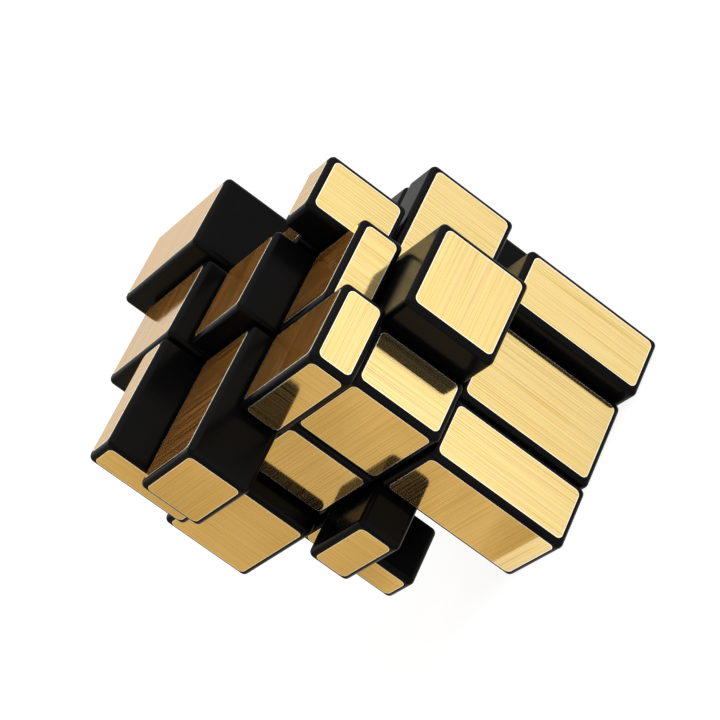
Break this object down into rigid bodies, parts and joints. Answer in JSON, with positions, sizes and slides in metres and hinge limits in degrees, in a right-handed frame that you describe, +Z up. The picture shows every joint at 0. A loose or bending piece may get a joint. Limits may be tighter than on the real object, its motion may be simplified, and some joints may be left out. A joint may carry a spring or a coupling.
{
  "type": "mirror block cube puzzle",
  "caption": "Scrambled mirror block cube: a turning puzzle of glossy black blocks of unequal depth, faced with brushed gold film, standing on its lowest blocks.",
  "frame": {"origin": "on the ground, under the middle of the mechanism, which is also the middle of the bounding box in plan", "axes": "+Z up, along the axis that the two free layers turn about; -Y towards the front centre block, the deepest one; +X to the right seen from the front"},
  "size_m": [0.077, 0.077, 0.073],
  "materials": {
    "black_plastic": "glossy moulded black plastic",
    "core_plastic": "plain moulded nylon",
    "steel": "bright zinc-plated steel",
    "gold_film": "brushed gold metallised film"
  },
  "bodies": {
    "middle_slice": {"edge_left_front": "black_plastic", "edge_left_back": "black_plastic", "edge_right_front": "black_plastic", "edge_right_back": "black_plastic", "centre_left": "black_plastic", "cap_left": "black_plastic", "screw_left": "steel", "spring_left": "steel", "centre_right": "black_plastic", "cap_right": "black_plastic", "screw_right": "steel", "spring_right": "steel", "centre_front": "black_plastic", "cap_front": "black_plastic", "screw_front": "steel", "spring_front": "steel", "centre_back": "black_plastic", "cap_back": "black_plastic", "screw_back": "steel", "spring_back": "steel", "screw_bottom": "steel", "spring_bottom": "steel", "screw_top": "steel", "spring_top": "steel", "core": "core_plastic"},
    "top_layer": {"corner_left_front_top": "black_plastic", "corner_left_back_top": "black_plastic", "corner_right_front_top": "black_plastic", "corner_right_back_top": "black_plastic", "edge_left_top": "black_plastic", "edge_right_top": "black_plastic", "edge_front_top": "black_plastic", "edge_back_top": "black_plastic", "centre_top": "black_plastic", "cap_top": "black_plastic"},
    "bottom_layer": {"corner_left_front_bottom": "black_plastic", "corner_left_back_bottom": "black_plastic", "corner_right_front_bottom": "black_plastic", "corner_right_back_bottom": "black_plastic", "edge_left_bottom": "black_plastic", "edge_right_bottom": "black_plastic", "edge_front_bottom": "black_plastic", "edge_back_bottom": "black_plastic", "centre_bottom": "black_plastic", "cap_bottom": "black_plastic"}
  },
  "joints": [
    {"name": "top_layer_turn", "type": "hinge", "parent": "middle_slice", "child": "top_layer", "pos_m": [0, 0, 0.0385], "axis": [0, 0, 1], "continuous": true},
    {"name": "bottom_layer_turn", "type": "hinge", "parent": "middle_slice", "child": "bottom_layer", "pos_m": [0, 0, 0.0385], "axis": [0, 0, 1], "continuous": true}
  ]
}
